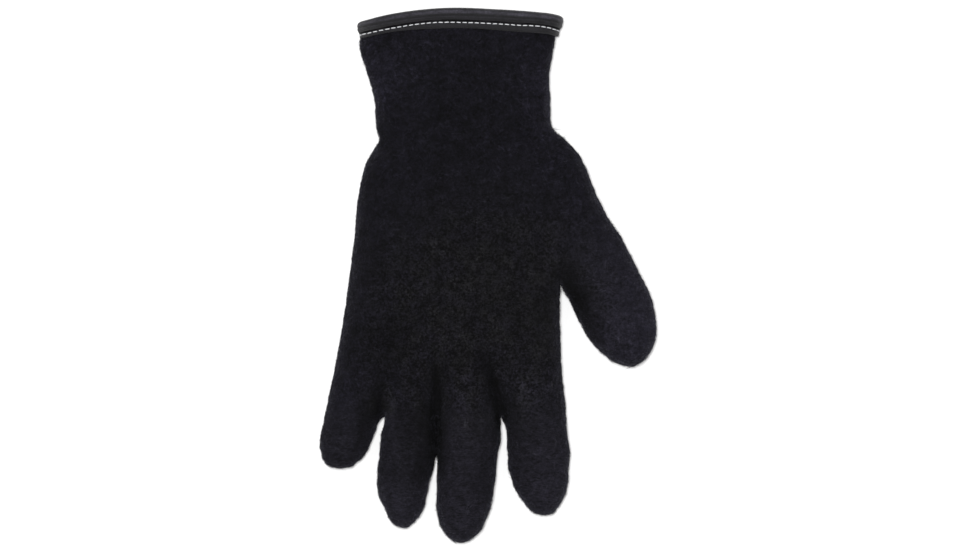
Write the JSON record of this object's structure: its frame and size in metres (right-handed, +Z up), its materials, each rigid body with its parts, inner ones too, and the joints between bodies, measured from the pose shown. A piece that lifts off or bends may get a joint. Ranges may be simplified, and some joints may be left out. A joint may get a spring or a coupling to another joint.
{
  "type": "work glove",
  "caption": "Brushed knit work glove lying flat, back of the hand up, hollow and open at a cuff that is bound with folded tape.",
  "frame": {"origin": "on the surface the glove lies on, under the middle of its bounding box", "axes": "+Z up through the back of the hand, +Y from the fingertips to the cuff, +X to the thumb's side"},
  "size_m": [0.163, 0.26, 0.0304],
  "materials": {
    "brushed_knit": "brushed, napped terry knit",
    "binding_tape": "woven tape, folded and stitched"
  },
  "bodies": {
    "root": {"knit_shell": "brushed_knit", "cuff_binding": "binding_tape"}
  },
  "joints": []
}
